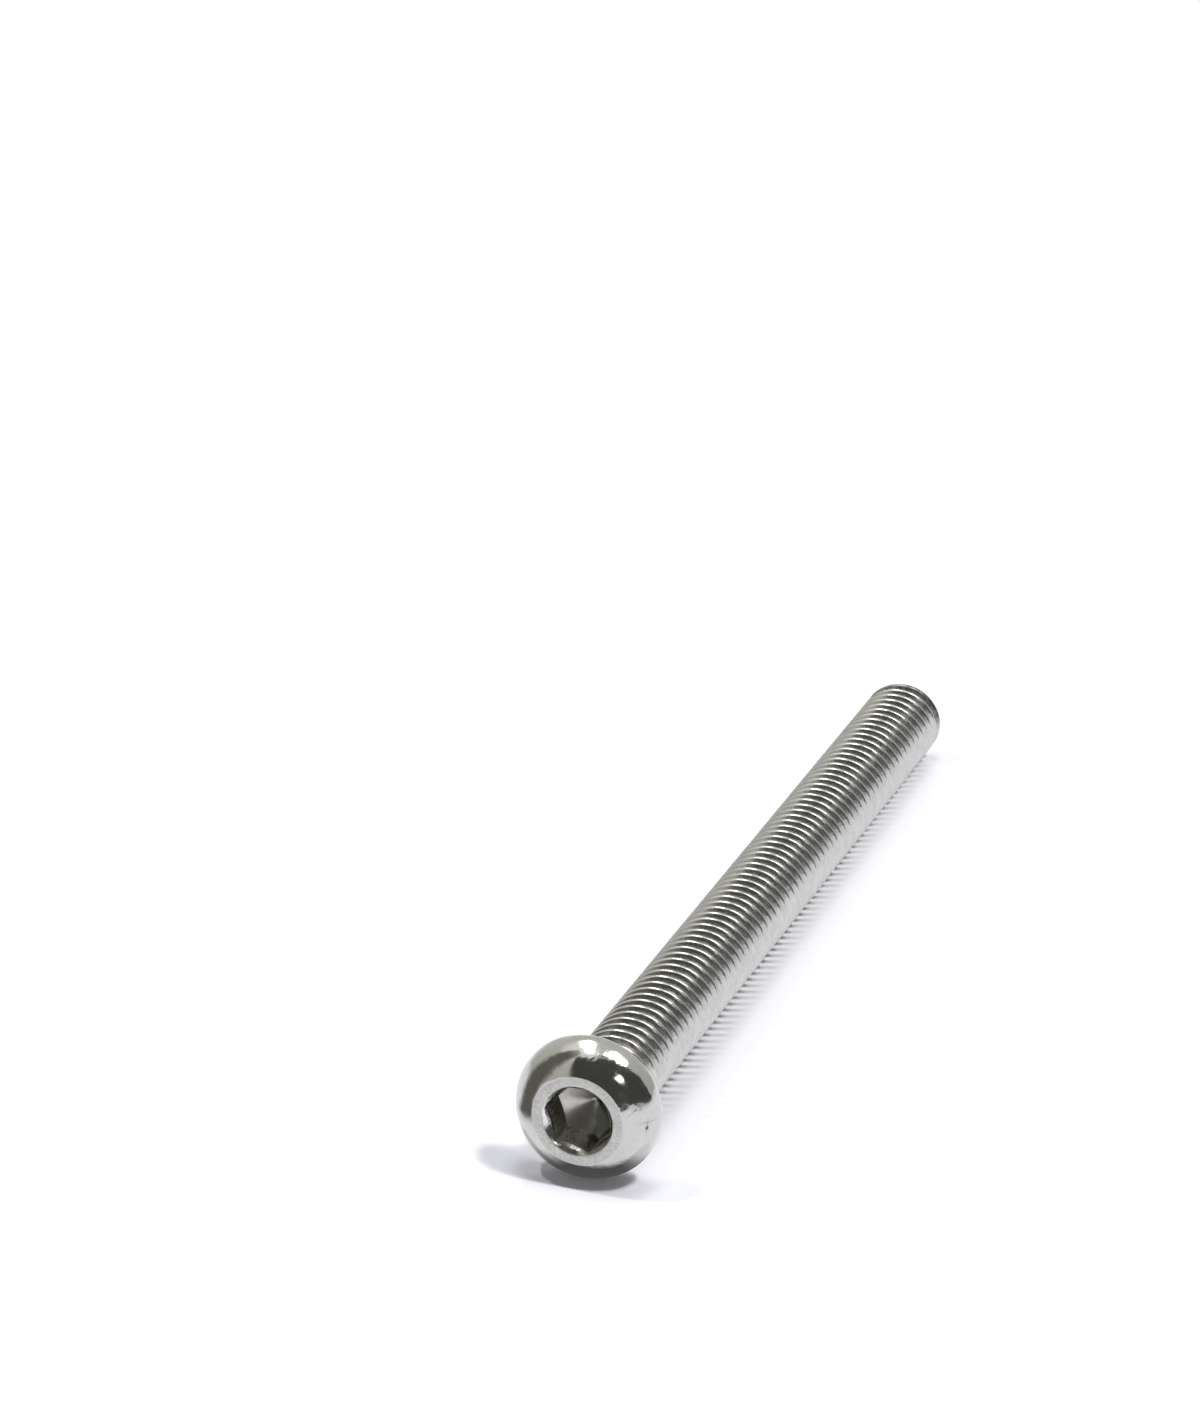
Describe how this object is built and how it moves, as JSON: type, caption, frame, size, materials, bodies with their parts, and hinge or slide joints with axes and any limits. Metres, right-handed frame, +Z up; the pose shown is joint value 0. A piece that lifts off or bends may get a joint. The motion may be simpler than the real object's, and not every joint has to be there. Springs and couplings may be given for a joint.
{
  "type": "button head screw",
  "caption": "Button head machine screw with a hexagon socket, a fully threaded shank and a flat chamfered tip, lying on its side.",
  "frame": {"origin": "on the floor, under the middle of the screw as it lies: halfway along its whole length and on its centre line seen from above", "axes": "+X runs along the screw from its head to its tip, +Z is up, +Y is across. The screw's own axis falls by 1.69 degrees from the head to the tip, because it lies on the rim of its head and the start of its tip."},
  "size_m": [0.0734, 0.01, 0.01],
  "materials": {
    "bright_steel": "bright, smooth as formed, with a dull flat ring and end face"
  },
  "bodies": {
    "root": {"button_head_screw": "bright_steel"}
  },
  "joints": []
}
